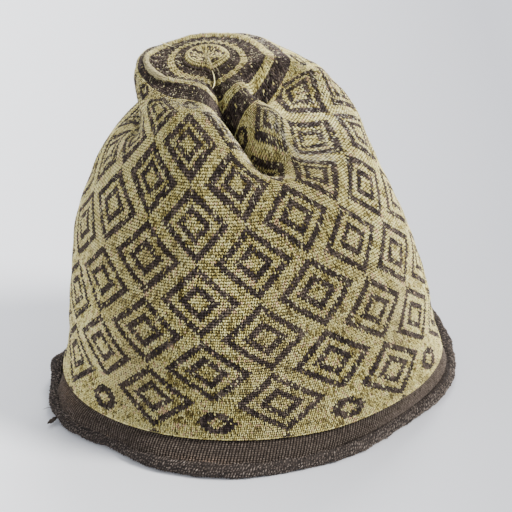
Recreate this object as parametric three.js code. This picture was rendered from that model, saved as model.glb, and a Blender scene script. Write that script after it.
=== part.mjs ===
// A knitted cap: a patterned crown drawn in to a small gathered centre and sunk in a deep pleat,
// a plain band of finer knit sewn inside the crown's lower edge, and a thick rolled edge.
// Millimetres, +Z up, the front towards -Y. The origin is on the floor under the cap's middle.

import * as THREE from 'three';

// Driving dimensions.
const RIM_WIDTH = 190;
const HEIGHT = 162;
const CROWN_WALL = 1.7;
const BAND_WALL = 1.3;
const SEAM_GAP = 0.6;
const ROLL_THICKNESS = 7.2;
const BAND_KNEE = 1.4;
const BAND_TUCK_HEIGHT = 7;
const BAND_TUCK_SHARE = 1.5;
const BAND_LAP_ROWS = 6;

// The knit. Rows of stitches climb from the crown's lower edge to its centre. On the flat cloth
// a degree round the cap is TURN_WIDTH wide and a row is ROW_HEIGHT tall.
const CROWN_ROWS = 168;
const ROW_HEIGHT = 1.22;
const TURN_WIDTH = 0.85;

// How finely the faceted solids follow the cloth.
const COLUMNS = 64;
const CROWN_LEVELS = 34;
const INNER_LEVELS = 29;
const LEVEL_CROWDING = 1.3;
const ROLL_COLUMNS = 96;
const ROLL_SIDES = 8;
const FOLD_DABS = 12;
const EVENING_TURN = 4;
const EVENING_ROWS = 2;
const PLEAT_SLACK = 0.5;

const FULL_TURN = 360;
const RIM_RADIUS = RIM_WIDTH / 2;
const ROLL_RADIUS = ROLL_THICKNESS / 2;
const ROLL_CENTRE = RIM_RADIUS - ROLL_RADIUS;

// Cross sections of the crown. Heights are shares of HEIGHT, and the other lengths are shares of
// RIM_RADIUS. A section's tilt lifts its right or its back by that much for each unit outwards,
// and its twist turns the knit about the cap's axis, in degrees.
const SHAPE_COLUMNS = [
  'height', 'right', 'back', 'halfWidth', 'halfDepth', 'tiltRight', 'tiltBack', 'twist',
];
const SECTION_COLUMNS = ['row', ...SHAPE_COLUMNS];
const SECTIONS = [
  [0, 0.095, 0, 0, 0.915, 0.89, 0, 0, 2],
  [15, 0.197, 0, 0.01, 0.87, 0.9, 0, 0, 0.5],
  [41, 0.378, -0.015, 0.01, 0.825, 0.86, 0, 0, -2],
  [67, 0.563, -0.04, 0.015, 0.74, 0.745, 0, 0, -2],
  [93, 0.765, -0.045, 0.02, 0.59, 0.66, 0, 0, -6.5],
  [106, 0.856, -0.06, 0, 0.5, 0.6, -0.02, -0.02, -9],
  [119, 0.93, -0.09, -0.03, 0.43, 0.51, 0.02, -0.05, -7.5],
  [134, 0.975, -0.125, -0.04, 0.33, 0.37, 0, 0.09, -6],
  [145, 0.992, -0.14, -0.04, 0.25, 0.25, 0.01, 0.08, -7.5],
  [156, 0.998, -0.14, -0.04, 0.15, 0.15, -0.02, 0.2, -9],
  [168, 1, -0.14, -0.04, 0, 0, 0, 0, -9],
].map((values) => Object.fromEntries(SECTION_COLUMNS.map((column, i) => [column, values[i]])));

// Folds of the crown. Each follows a bent path through three places on the knit, given as
// [degrees round from the front, row]. The cloth there is pushed by `push`, and the cloth on
// its two sides is drawn together along `draw`. Width, push and draw are shares of RIM_RADIUS,
// and push and draw point [right, back, up].
const FOLDS = {
  deepPleat: {
    path: [[16, 155], [14, 102], [42, 103]],
    width: 0.135,
    push: [0.015, 0.165, -0.27],
    draw: [0.055, 0.035, 0.045],
  },
  leftPinch: {
    path: [[-49, 108], [-55, 125], [-120, 116]],
    width: 0.12,
    push: [0.04, -0.015, -0.105],
    draw: [-0.015, 0.035, 0.08],
  },
  rightCrease: {
    path: [[54, 149], [86, 136], [95, 105]],
    width: 0.095,
    push: [-0.045, 0.04, -0.09],
    draw: [-0.05, -0.035, -0.07],
  },
  rightShelf: {
    path: [[67, 134], [77, 117], [51, 95]],
    width: 0.13,
    push: [-0.06, -0.065, -0.07],
    draw: [-0.02, -0.015, -0.02],
  },
  upperCrease: {
    path: [[56, 139], [84, 131], [114, 116]],
    width: 0.07,
    push: [-0.02, 0, -0.035],
    draw: [-0.015, 0.015, 0.045],
  },
  leftShoulder: {
    path: [[-66, 109], [-92, 104], [-124, 101]],
    width: 0.15,
    push: [0.075, 0, -0.01],
    draw: [0, 0, 0],
  },
  rightBulge: {
    path: [[100, 86], [110, 102], [156, 132]],
    width: 0.2,
    push: [0.03, 0.01, 0.015],
    draw: [0, 0, 0],
  },
};

// Lumps of the rolled edge: where round the rim, how far they spread in degrees, and how far the
// roll goes outwards, upwards and fatter there, in shares of its thickness.
const RIM_LUMPS = [
  { turn: 118, spread: 20, out: -0.08, up: 1.5, fat: 0.05 },
  { turn: -80, spread: 4, out: 0.02, up: 0.1, fat: 0.12 },
  { turn: -89, spread: 5, out: -0.15, up: 0.35, fat: -0.08 },
  { turn: -98, spread: 6, out: -0.05, up: 0.7, fat: 0.12 },
  { turn: -112, spread: 9, out: -0.15, up: 0.3, fat: 0 },
  { turn: -48, spread: 13, out: -0.85, up: 0, fat: -0.06 },
  { turn: -25, spread: 20, out: -0.35, up: 0, fat: 0 },
  { turn: 12, spread: 16, out: -0.55, up: 0, fat: -0.05 },
  { turn: 50, spread: 28, out: -1.5, up: 0, fat: 0 },
];

// A smooth curve through a column of the section table that never overshoots its values.
function columnCurve(key) {
  const count = SECTIONS.length;
  const slopes = [];
  for (let i = 0; i < count - 1; i += 1) {
    const rise = SECTIONS[i + 1][key] - SECTIONS[i][key];
    slopes.push(rise / (SECTIONS[i + 1].row - SECTIONS[i].row));
  }
  const tangents = SECTIONS.map((section, i) => {
    if (i === 0) return slopes[0];
    if (i === count - 1) return slopes[count - 2];
    const before = slopes[i - 1];
    const after = slopes[i];
    if (before * after <= 0) return 0;
    const gapBefore = section.row - SECTIONS[i - 1].row;
    const gapAfter = SECTIONS[i + 1].row - section.row;
    const weightBefore = 2 * gapAfter + gapBefore;
    const weightAfter = gapAfter + 2 * gapBefore;
    return (weightBefore + weightAfter) / (weightBefore / before + weightAfter / after);
  });
  return (row) => {
    let i = 0;
    while (i < count - 2 && row >= SECTIONS[i + 1].row) i += 1;
    const gap = SECTIONS[i + 1].row - SECTIONS[i].row;
    const t = (row - SECTIONS[i].row) / gap;
    const fromStart = (1 + 2 * t) * (1 - t) * (1 - t) * SECTIONS[i][key];
    const startSlope = t * (1 - t) * (1 - t) * gap * tangents[i];
    const toEnd = t * t * (3 - 2 * t) * SECTIONS[i + 1][key];
    const endSlope = t * t * (t - 1) * gap * tangents[i + 1];
    return fromStart + startSlope + toEnd + endSlope;
  };
}

const sectionCurves = Object.fromEntries(SHAPE_COLUMNS.map((key) => [key, columnCurve(key)]));

// A fold is laid on as a row of soft dabs along its path. `depth` says how fully a place on the
// knit is in the fold, and `side` how far it lies to one side of it.
function foldHold(fold, turn, row) {
  const [start, bend, end] = fold.path;
  const width = fold.width * RIM_RADIUS;
  const reach = 1.5 * width;
  let depth = 0;
  let side = 0;
  for (let k = 0; k < FOLD_DABS; k += 1) {
    const t = (k + 0.5) / FOLD_DABS;
    const along = [0, 1].map((n) => (1 - t) ** 2 * start[n] + 2 * t * (1 - t) * bend[n] + t * t * end[n]);
    const ahead = [0, 1].map((n) => 2 * (1 - t) * (bend[n] - start[n]) + 2 * t * (end[n] - bend[n]));
    const aheadX = ahead[0] * TURN_WIDTH;
    const aheadY = ahead[1] * ROW_HEIGHT;
    const length = Math.hypot(aheadX, aheadY);
    const turnAway = ((turn - along[0] + 1.5 * FULL_TURN) % FULL_TURN) - FULL_TURN / 2;
    const awayX = turnAway * TURN_WIDTH;
    const awayY = (row - along[1]) * ROW_HEIGHT;
    const distance = awayX * awayX + awayY * awayY;
    const fade = Math.min(1, 4 * t, 4 * (1 - t));
    const strength = (fade * length) / FOLD_DABS / Math.sqrt(Math.PI);
    const across = (aheadY * awayX - aheadX * awayY) / length / width;
    depth += (strength / width) * Math.exp(-distance / width ** 2);
    side += (strength / reach) * across * Math.exp(-distance / reach ** 2);
  }
  return { depth, side };
}

// The outer face of the crown's cloth at a place on the knit.
function crownPlace(turn, row) {
  const at = Object.fromEntries(SHAPE_COLUMNS.map((key) => [key, sectionCurves[key](row)]));
  const angle = THREE.MathUtils.degToRad(turn + at.twist);
  const outRight = at.halfWidth * Math.sin(angle);
  const outBack = -at.halfDepth * Math.cos(angle);
  const place = new THREE.Vector3(at.right + outRight, at.back + outBack, 0);
  place.z = at.tiltRight * outRight + at.tiltBack * outBack;
  for (const fold of Object.values(FOLDS)) {
    const { depth, side } = foldHold(fold, turn, row);
    place.addScaledVector(new THREE.Vector3(...fold.push), depth);
    place.addScaledVector(new THREE.Vector3(...fold.draw), side);
  }
  place.multiplyScalar(RIM_RADIUS);
  place.z += at.height * HEIGHT;
  return place;
}

// The direction out of the cloth there, evened out over a few stitches.
function crownOutward(turn, row) {
  const low = Math.max(row - EVENING_ROWS, 0);
  const high = Math.min(row + EVENING_ROWS, CROWN_ROWS - 0.5);
  const round = crownPlace(turn + EVENING_TURN, row).sub(crownPlace(turn - EVENING_TURN, row));
  const up = crownPlace(turn, high).sub(crownPlace(turn, low));
  return round.cross(up).normalize();
}

function crownInside(turn, row, depth) {
  return crownPlace(turn, row).addScaledVector(crownOutward(turn, row), -depth);
}

// One closed body from rings of points that follow each other. Rings go round anticlockwise seen
// from above, and the first face looks outwards. The last ring joins the first, or both ends close
// on single points.
function ringedSolid(name, rings, colour, ends) {
  const positions = rings.flat().flatMap((point) => [point.x, point.y, point.z]);
  const faces = [];
  const around = rings[0].length;
  const last = ends ? rings.length - 1 : rings.length;
  for (let r = 0; r < last; r += 1) {
    const here = r * around;
    const next = ((r + 1) % rings.length) * around;
    for (let c = 0; c < around; c += 1) {
      const right = (c + 1) % around;
      faces.push(here + c, here + right, next + right);
      faces.push(here + c, next + right, next + c);
    }
  }
  if (ends) {
    const [startPoint, endPoint] = ends;
    const startIndex = positions.length / 3;
    positions.push(startPoint.x, startPoint.y, startPoint.z, endPoint.x, endPoint.y, endPoint.z);
    const lastRing = (rings.length - 1) * around;
    for (let c = 0; c < around; c += 1) {
      const right = (c + 1) % around;
      faces.push(startIndex, right, c);
      faces.push(startIndex + 1, lastRing + c, lastRing + right);
    }
  }
  const geometry = new THREE.BufferGeometry();
  geometry.setAttribute('position', new THREE.Float32BufferAttribute(positions, 3));
  geometry.setIndex(faces);
  geometry.computeVertexNormals();
  const material = new THREE.MeshStandardMaterial({ color: colour, roughness: 0.85, metalness: 0 });
  const mesh = new THREE.Mesh(geometry, material);
  mesh.name = name;
  return mesh;
}

function turnsRound(count) {
  return Array.from({ length: count }, (_, i) => (i * FULL_TURN) / count);
}

// The crown: its inner face from the centre down, then its outer face back up to the centre.
function makeCrown() {
  const turns = turnsRound(COLUMNS);
  const rowAt = (i, levels) => CROWN_ROWS * (1 - (1 - i / levels) ** LEVEL_CROWDING);
  const outside = [];
  for (let i = 0; i < CROWN_LEVELS; i += 1) {
    outside.push(turns.map((turn) => crownPlace(turn, rowAt(i, CROWN_LEVELS))));
  }
  const inside = [];
  for (let i = 0; i < INNER_LEVELS; i += 1) {
    const row = rowAt(i, INNER_LEVELS);
    inside.push(turns.map((turn) => {
      const slack = 1 + PLEAT_SLACK * foldHold(FOLDS.deepPleat, turn, row).depth;
      return crownInside(turn, row, CROWN_WALL * slack);
    }));
  }
  const centre = crownPlace(0, CROWN_ROWS);
  const innerCentre = centre.clone();
  innerCentre.z -= CROWN_WALL;
  const rings = [...inside.reverse(), ...outside];
  return ringedSolid('crown', rings, 0xbdb07c, [innerCentre, centre]);
}

// The middle line of the rolled edge and its half thickness there.
function rimAt(turn) {
  let out = 0;
  let up = 0;
  let fat = 0;
  for (const lump of RIM_LUMPS) {
    const away = ((turn - lump.turn + 1.5 * FULL_TURN) % FULL_TURN) - FULL_TURN / 2;
    const share = Math.exp(-((away / lump.spread) ** 2));
    out += lump.out * share;
    up += lump.up * share;
    fat += lump.fat * share;
  }
  const half = ROLL_RADIUS * (1 + fat);
  const apothem = half * Math.cos(Math.PI / ROLL_SIDES);
  return { radius: ROLL_CENTRE + out * ROLL_THICKNESS, height: apothem + up * ROLL_THICKNESS, half };
}

function polar(turn, radius, height) {
  const angle = THREE.MathUtils.degToRad(turn);
  return new THREE.Vector3(radius * Math.sin(angle), -radius * Math.cos(angle), height);
}

// The rolled edge: a soft tube round the rim with a flat underside.
function makeRolledEdge() {
  const turns = turnsRound(ROLL_COLUMNS);
  const rings = [];
  for (let side = 0; side < ROLL_SIDES; side += 1) {
    const angle = ((side + 0.5) / ROLL_SIDES) * 2 * Math.PI;
    rings.push(turns.map((turn) => {
      const rim = rimAt(turn);
      return polar(turn, rim.radius + rim.half * Math.cos(angle), rim.height + rim.half * Math.sin(angle));
    }));
  }
  return ringedSolid('rolled_edge', rings, 0x3d332f);
}

// The band: up from the rolled edge, in under the crown's lower edge and a little way up inside
// it. Each face of the cloth has a foot, a knee below the crown's edge, a hem and a top. The foot
// leaves the roll at its top, and goes round to its inner side where the roll is lifted.
function bandFace(turn, depth) {
  const rim = rimAt(turn);
  const lift = rim.height - ROLL_RADIUS;
  const tuck = THREE.MathUtils.smoothstep(lift, 0, BAND_TUCK_HEIGHT);
  const angle = (Math.PI / 2) * (1 + BAND_TUCK_SHARE * tuck);
  const away = rim.half + SEAM_GAP;
  const footRadius = rim.radius + away * Math.cos(angle) - depth;
  const foot = polar(turn, footRadius, rim.height + away * Math.sin(angle));
  const hem = crownInside(turn, 0, CROWN_WALL + SEAM_GAP + depth);
  const knee = hem.clone();
  knee.z -= BAND_KNEE;
  const top = crownInside(turn, BAND_LAP_ROWS, CROWN_WALL + SEAM_GAP + depth);
  return [foot, knee, hem, top];
}

function makeBand() {
  const turns = turnsRound(ROLL_COLUMNS);
  const outer = turns.map((turn) => bandFace(turn, 0));
  const inner = turns.map((turn) => bandFace(turn, BAND_WALL));
  const rings = [0, 1, 2, 3].map((level) => outer.map((face) => face[level]));
  rings.push(...[3, 2, 1, 0].map((level) => inner.map((face) => face[level])));
  return ringedSolid('band', rings, 0x4a403a);
}

const cap = new THREE.Group();
cap.add(makeCrown(), makeBand(), makeRolledEdge());

// The middle of the cap's outline goes over the origin.
const middle = new THREE.Box3().setFromObject(cap).getCenter(new THREE.Vector3());
for (const piece of cap.children) piece.geometry.translate(-middle.x, -middle.y, 0);

export default cap;
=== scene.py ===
# %% [markdown]
# # A knitted silk cap
#
# The cap is three knitted pieces. The crown is worked in two colours of silk, pale yellow and dark
# brown, and ends in a small gathered centre. A band of finer brown knit is sewn inside the crown's
# lower edge, and it ends in a thick rolled edge of coarser brown knit. This lesson dresses the
# plain solids of those three pieces: it rebuilds each cloth with its folds and then lays real
# stitches on it, one by one, as joined meshes.

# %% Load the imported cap
import math

import bpy
import numpy as np
from mathutils import Matrix, Vector


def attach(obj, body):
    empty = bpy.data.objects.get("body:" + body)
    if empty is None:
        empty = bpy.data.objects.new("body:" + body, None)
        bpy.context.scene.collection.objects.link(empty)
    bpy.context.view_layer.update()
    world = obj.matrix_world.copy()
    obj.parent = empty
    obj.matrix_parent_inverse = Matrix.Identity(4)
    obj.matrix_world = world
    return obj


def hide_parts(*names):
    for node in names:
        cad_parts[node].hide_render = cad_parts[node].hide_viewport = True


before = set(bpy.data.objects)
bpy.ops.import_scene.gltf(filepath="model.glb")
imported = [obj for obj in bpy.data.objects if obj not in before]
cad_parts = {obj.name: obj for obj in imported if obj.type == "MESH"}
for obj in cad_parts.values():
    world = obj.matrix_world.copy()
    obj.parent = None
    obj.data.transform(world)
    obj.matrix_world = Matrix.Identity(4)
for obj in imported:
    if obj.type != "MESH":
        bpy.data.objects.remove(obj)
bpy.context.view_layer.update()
bpy.ops.object.select_all(action="DESELECT")
print("pieces of the frame:", ", ".join(sorted(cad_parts)))

# %% [markdown]
# ## The shape of the crown
#
# On the real cap the shape is that of one knitted tube, narrowed towards the top and sunk in soft
# folds. It could be sculpted, but every stitch has to know where it sits. So the cloth is a
# function: it takes a place on the knit, as degrees round the cap and the number of the row, and
# gives the place in space. A short table of cross sections gives the tube, and a list of folds
# pushes it in. Both repeat what the solids were made from, as shares of the named sizes. The last
# two folds are slight ones that only the dressed cap has.

# %% Sizes of the cap
RIM_WIDTH = 0.190
HEIGHT = 0.162
RIM_RADIUS = RIM_WIDTH / 2
ROLL_THICKNESS = 0.0072
ROLL_RADIUS = ROLL_THICKNESS / 2
ROLL_CENTRE = RIM_RADIUS - ROLL_RADIUS
ROLL_COLUMNS = 96
ROLL_SIDES = 8
CROWN_WALL = 0.0017
BAND_TUCK_HEIGHT = 0.007
BAND_TUCK_SHARE = 1.5
CROWN_ROWS = 168
ROW_HEIGHT = 0.00122
TURN_WIDTH = 0.00085
FOLD_DABS = 12
print(f"rim {RIM_WIDTH * 1000:.0f} mm across, gathered centre {HEIGHT * 1000:.0f} mm up")

# %% Cross sections and folds
SHAPE_COLUMNS = (
    "height", "right", "back", "half_width", "half_depth", "tilt_right", "tilt_back", "twist",
)
SECTION_TABLE = np.array([
    # row, then the columns named above
    (0, 0.095, 0, 0, 0.915, 0.89, 0, 0, 2),
    (15, 0.197, 0, 0.01, 0.87, 0.9, 0, 0, 0.5),
    (41, 0.378, -0.015, 0.01, 0.825, 0.86, 0, 0, -2),
    (67, 0.563, -0.04, 0.015, 0.74, 0.745, 0, 0, -2),
    (93, 0.765, -0.045, 0.02, 0.59, 0.66, 0, 0, -6.5),
    (106, 0.856, -0.06, 0, 0.5, 0.6, -0.02, -0.02, -9),
    (119, 0.93, -0.09, -0.03, 0.43, 0.51, 0.02, -0.05, -7.5),
    (134, 0.975, -0.125, -0.04, 0.33, 0.37, 0, 0.09, -6),
    (145, 0.992, -0.14, -0.04, 0.25, 0.25, 0.01, 0.08, -7.5),
    (156, 0.998, -0.14, -0.04, 0.15, 0.15, -0.02, 0.2, -9),
    (168, 1, -0.14, -0.04, 0, 0, 0, 0, -9),
])
FOLDS = {
    "deep pleat": {
        "path": ((16, 155), (14, 102), (42, 103)), "width": 0.135,
        "push": (0.015, 0.165, -0.27), "draw": (0.055, 0.035, 0.045),
    },
    "left pinch": {
        "path": ((-49, 108), (-55, 125), (-120, 116)), "width": 0.12,
        "push": (0.04, -0.015, -0.105), "draw": (-0.015, 0.035, 0.08),
    },
    "right crease": {
        "path": ((54, 149), (86, 136), (95, 105)), "width": 0.095,
        "push": (-0.045, 0.04, -0.09), "draw": (-0.05, -0.035, -0.07),
    },
    "right shelf": {
        "path": ((67, 134), (77, 117), (51, 95)), "width": 0.13,
        "push": (-0.06, -0.065, -0.07), "draw": (-0.02, -0.015, -0.02),
    },
    "left shoulder": {
        "path": ((-66, 109), (-92, 104), (-124, 101)), "width": 0.15,
        "push": (0.075, 0, -0.01), "draw": (0, 0, 0),
    },
    "right bulge": {
        "path": ((100, 86), (110, 102), (156, 132)), "width": 0.2,
        "push": (0.03, 0.01, 0.015), "draw": (0, 0, 0),
    },
    "upper crease": {
        "path": ((56, 139), (84, 131), (114, 116)), "width": 0.07,
        "push": (-0.02, 0, -0.035), "draw": (-0.015, 0.015, 0.045),
    },
    "piped edge": {
        "path": ((-115, 143), (-55, 144), (-4, 143)), "width": 0.05,
        "push": (-0.02, -0.025, 0.03), "draw": (0.03, 0.02, 0.015),
    },
    "lifted edge": {
        "path": ((24, -2), (55, -5), (88, -2)), "width": 0.075,
        "push": (0, 0, 0.028), "draw": (0, 0, 0),
    },
}
print(len(SECTION_TABLE), "cross sections and", len(FOLDS), "folds")


# %% A smooth curve through a column of the table
def column_curve(column):
    rows = SECTION_TABLE[:, 0]
    values = SECTION_TABLE[:, column]
    gaps = np.diff(rows)
    slopes = np.diff(values) / gaps
    tangents = np.concatenate(([slopes[0]], np.zeros(len(rows) - 2), [slopes[-1]]))
    for i in range(1, len(rows) - 1):
        if slopes[i - 1] * slopes[i] > 0:
            weight_before = 2 * gaps[i] + gaps[i - 1]
            weight_after = gaps[i] + 2 * gaps[i - 1]
            blended = weight_before / slopes[i - 1] + weight_after / slopes[i]
            tangents[i] = (weight_before + weight_after) / blended

    def curve(row):
        i = np.clip(np.searchsorted(rows, row, side="right") - 1, 0, len(rows) - 2)
        t = (row - rows[i]) / gaps[i]
        start = (1 + 2 * t) * (1 - t) ** 2 * values[i] + t * (1 - t) ** 2 * gaps[i] * tangents[i]
        end = t * t * (3 - 2 * t) * values[i + 1] + t * t * (t - 1) * gaps[i] * tangents[i + 1]
        return start + end

    return curve


section_curves = {name: column_curve(i + 1) for i, name in enumerate(SHAPE_COLUMNS)}
half_width = float(section_curves["half_width"](67.0)) * RIM_RADIUS
print("half width at row 67 in mm:", round(half_width * 1000, 1))


# %% How fully a fold takes hold
SIDE_REACH = 1.5
END_FADE = 4


def turn_between(turn, other):
    return (turn - other + 540) % 360 - 180


def curve_at(start, bend, end, t):
    place = (1 - t) ** 2 * start + 2 * t * (1 - t) * bend + t * t * end
    ahead = 2 * (1 - t) * (bend - start) + 2 * t * (end - bend)
    return place, ahead


def fold_hold(fold, turn, row):
    start, bend, end = (np.array(place, float) for place in fold["path"])
    width = fold["width"] * RIM_RADIUS
    reach = SIDE_REACH * width
    depth = np.zeros_like(turn)
    side = np.zeros_like(turn)
    for k in range(FOLD_DABS):
        t = (k + 0.5) / FOLD_DABS
        along, ahead = curve_at(start, bend, end, t)
        ahead_x = ahead[0] * TURN_WIDTH
        ahead_y = ahead[1] * ROW_HEIGHT
        length = math.hypot(ahead_x, ahead_y)
        away_x = turn_between(turn, along[0]) * TURN_WIDTH
        away_y = (row - along[1]) * ROW_HEIGHT
        distance = away_x ** 2 + away_y ** 2
        fade = min(1, END_FADE * t, END_FADE * (1 - t))
        strength = fade * length / FOLD_DABS / math.sqrt(math.pi)
        across = (ahead_y * away_x - ahead_x * away_y) / length / width
        depth += strength / width * np.exp(-distance / width ** 2)
        side += strength / reach * across * np.exp(-distance / reach ** 2)
    return depth, side


# %% [markdown]
# The rim is not a perfect ring either. A table of lumps lifts, squeezes and fattens the rolled
# edge. The solids were centred on their outline, so the same shift is worked out here.

# %% The rolled edge's path
RIM_LUMPS = (
    # turn, spread, out, up, fat
    (118, 20, -0.08, 1.5, 0.05),
    (-80, 4, 0.02, 0.1, 0.12),
    (-89, 5, -0.15, 0.35, -0.08),
    (-98, 6, -0.05, 0.7, 0.12),
    (-112, 9, -0.15, 0.3, 0),
    (-48, 13, -0.85, 0, -0.06),
    (-25, 20, -0.35, 0, 0),
    (12, 16, -0.55, 0, -0.05),
    (50, 28, -1.5, 0, 0),
)


def rim_at(turn):
    out = np.zeros_like(turn)
    up = np.zeros_like(turn)
    fat = np.zeros_like(turn)
    for lump_turn, spread, lump_out, lump_up, lump_fat in RIM_LUMPS:
        share = np.exp(-(turn_between(turn, lump_turn) / spread) ** 2)
        out += lump_out * share
        up += lump_up * share
        fat += lump_fat * share
    half = ROLL_RADIUS * (1 + fat)
    height = half * math.cos(math.pi / ROLL_SIDES) + up * ROLL_THICKNESS
    return ROLL_CENTRE + out * ROLL_THICKNESS, height, half


def polar(turn, radius, height):
    angle = np.radians(turn)
    return np.stack([radius * np.sin(angle), -radius * np.cos(angle), height + 0 * angle], axis=-1)


outline_turns = np.arange(ROLL_COLUMNS) * 360 / ROLL_COLUMNS
outline_radius, _, outline_half = rim_at(outline_turns)
outline = polar(outline_turns, outline_radius + outline_half * math.cos(math.pi / ROLL_SIDES), 0)
MIDDLE = (outline.min(axis=0) + outline.max(axis=0)) / 2
print("the outline's middle in mm:", (MIDDLE * 1000).round(2))


# %% A place on the crown's cloth
SHORTEST = 1e-12
LAST_ROW = CROWN_ROWS - 0.4


def unit(vectors):
    return vectors / np.maximum(np.linalg.norm(vectors, axis=-1, keepdims=True), SHORTEST)


def crown_place(turn, row):
    turn = np.asarray(turn, float)
    row = np.asarray(row, float)
    at = {name: curve(row) for name, curve in section_curves.items()}
    angle = np.radians(turn + at["twist"])
    out_right = at["half_width"] * np.sin(angle)
    out_back = -at["half_depth"] * np.cos(angle)
    rise = at["tilt_right"] * out_right + at["tilt_back"] * out_back
    place = np.stack([at["right"] + out_right, at["back"] + out_back, rise], axis=-1)
    for fold in FOLDS.values():
        depth, side = fold_hold(fold, turn, row)
        place = place + depth[..., None] * np.array(fold["push"])
        place = place + side[..., None] * np.array(fold["draw"])
    place = place * RIM_RADIUS
    place[..., 2] += at["height"] * HEIGHT
    return place - MIDDLE


def crown_outward(turn, row, turn_step=1.2, row_step=0.8):
    low = np.maximum(row - row_step, 0)
    high = np.minimum(row + row_step, LAST_ROW)
    around = crown_place(turn + turn_step, row) - crown_place(turn - turn_step, row)
    up = crown_place(turn, high) - crown_place(turn, low)
    return unit(np.cross(around, up))


front = crown_place(np.array([0.0]), np.array([15.0]))[0]
print("front of the crown at row 15, in mm:", (front * 1000).round(1))

# %% [markdown]
# ## The knitting chart
#
# The pattern is the traditional one of nested diamonds, so it is charted as a knitter would: a
# repeat of 36 stitches and 26 rows holds two diamonds, offset by half a repeat. The distance from
# a diamond's middle, counted in stitches, says which ring a stitch is in. Higher up, where the
# tube narrows, the outer ring is one stitch wider. At both ends of the pattern small round rings
# stand between the diamonds, and plain rings close the top.

# %% The chart, stitch by stitch
CHART_STITCHES = 324
REPEAT_STITCHES = 36
REPEAT_ROWS = 26
FIRST_DIAMOND_TURN = 7
FIRST_DIAMOND_ROW = 15
DIAMOND_TOP_ROW = 133
SMALL_DIAMOND_ROWS = (7, 127)
BROWN_ROUNDS = ((133, 141), (145, 153), (156, 160))
BROWN_DIAMOND_RINGS = ((4, 6), (10, 12))
WIDE_RING_ROW = 86
OFFSET_DIAMOND_ROWS = (16, 119)
SMALL_DIAMOND_RING = (2.3, 5.1)
SMALL_DIAMOND_SQUASH = 1.15
ROSETTE_ROW = 160


def is_brown(turn, row):
    stitch = np.floor((turn % 360) / 360 * CHART_STITCHES)
    along = stitch - round(FIRST_DIAMOND_TURN / 360 * CHART_STITCHES)
    half = REPEAT_STITCHES / 2
    row = np.floor(row)

    def rings(across, up):
        steps = np.abs(across) + np.abs(up)
        in_rings = sum(((steps >= low) & (steps <= high)) for low, high in BROWN_DIAMOND_RINGS) > 0
        return in_rings | ((steps == BROWN_DIAMOND_RINGS[1][0] - 1) & (row > WIDE_RING_ROW))

    to_first = (along + half) % REPEAT_STITCHES - half
    to_second = along % REPEAT_STITCHES - half
    row_first = (row - FIRST_DIAMOND_ROW + REPEAT_ROWS / 2) % REPEAT_ROWS - REPEAT_ROWS / 2
    row_second = (row - FIRST_DIAMOND_ROW) % REPEAT_ROWS - REPEAT_ROWS / 2
    second_rows = (row > OFFSET_DIAMOND_ROWS[0]) & (row < OFFSET_DIAMOND_ROWS[1])
    brown = rings(to_first, row_first) | (rings(to_second, row_second) & second_rows)
    for small_row in SMALL_DIAMOND_ROWS:
        steps = np.hypot(to_second, SMALL_DIAMOND_SQUASH * (row - small_row))
        brown |= (steps > SMALL_DIAMOND_RING[0]) & (steps < SMALL_DIAMOND_RING[1])
    brown &= row < DIAMOND_TOP_ROW
    for low, high in BROWN_ROUNDS:
        brown |= (row >= low) & (row < high)
    return brown


repeat_turns = (np.arange(REPEAT_STITCHES) + 0.5) / CHART_STITCHES * 360
for chart_row in range(FIRST_DIAMOND_ROW + REPEAT_ROWS // 2, FIRST_DIAMOND_ROW - REPEAT_ROWS // 2, -2):
    marks = is_brown(repeat_turns, np.full(REPEAT_STITCHES, float(chart_row)))
    print("".join("#" if mark else "." for mark in marks))

# %% [markdown]
# ## Finishes
#
# Silk yarn is not one colour. Each loop turns its shine another way, old dye has faded unevenly
# and dust sits between the rows. So every stitch carries two numbers of its own, its tone and its
# wear, and the materials turn them into a lighter or darker, fresher or more rubbed yarn; along the
# crests the wear also carries a painted highlight. A slow noise over the whole cap adds faded
# patches, and a fine bump breaks up the surface of the yarn.

# %% A small set of tools for materials
random = np.random.default_rng(7)
BLACK = (0, 0, 0)
WHITE = (1, 1, 1)
SPECULAR = 0.2


def start_material(name, roughness):
    material = bpy.data.materials.new(name)
    material.use_nodes = True
    nodes = material.node_tree.nodes
    shader = nodes["Principled BSDF"]
    shader.inputs["Roughness"].default_value = roughness
    shader.inputs["Specular IOR Level"].default_value = SPECULAR
    return material, nodes, material.node_tree.links, shader


def add_node(nodes, kind, **settings):
    node = nodes.new(kind)
    for key, value in settings.items():
        setattr(node, key, value)
    return node


def colour_ramp(nodes, stops, interpolation="LINEAR"):
    ramp = nodes.new("ShaderNodeValToRGB")
    ramp.color_ramp.interpolation = interpolation
    elements = ramp.color_ramp.elements
    while len(elements) > 1:
        elements.remove(elements[-1])
    elements[0].position = stops[0][0]
    elements[0].color = (*stops[0][1], 1)
    for position, colour in stops[1:]:
        elements.new(position).color = (*colour, 1)
    return ramp


def noise_on_object(nodes, links, scale, detail=2.0):
    place = nodes.new("ShaderNodeTexCoord")
    noise = add_node(nodes, "ShaderNodeTexNoise")
    noise.inputs["Scale"].default_value = scale
    noise.inputs["Detail"].default_value = detail
    links.new(place.outputs["Object"], noise.inputs["Vector"])
    return noise


def mix_in(nodes, links, share, colour, added):
    mix = nodes.new("ShaderNodeMix")
    mix.data_type = "RGBA"
    colour_sockets = [socket for socket in mix.inputs if socket.type == "RGBA"]
    links.new(share, mix.inputs[0])
    links.new(colour, colour_sockets[0])
    colour_sockets[1].default_value = (*added, 1)
    return next(socket for socket in mix.outputs if socket.type == "RGBA")


def fibre_bump(nodes, links, shader, scale, strength, distance):
    noise = noise_on_object(nodes, links, scale, 3.0)
    bump = nodes.new("ShaderNodeBump")
    bump.inputs["Strength"].default_value = strength
    bump.inputs["Distance"].default_value = distance
    links.new(noise.outputs["Fac"], bump.inputs["Height"])
    links.new(bump.outputs["Normal"], shader.inputs["Normal"])


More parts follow.
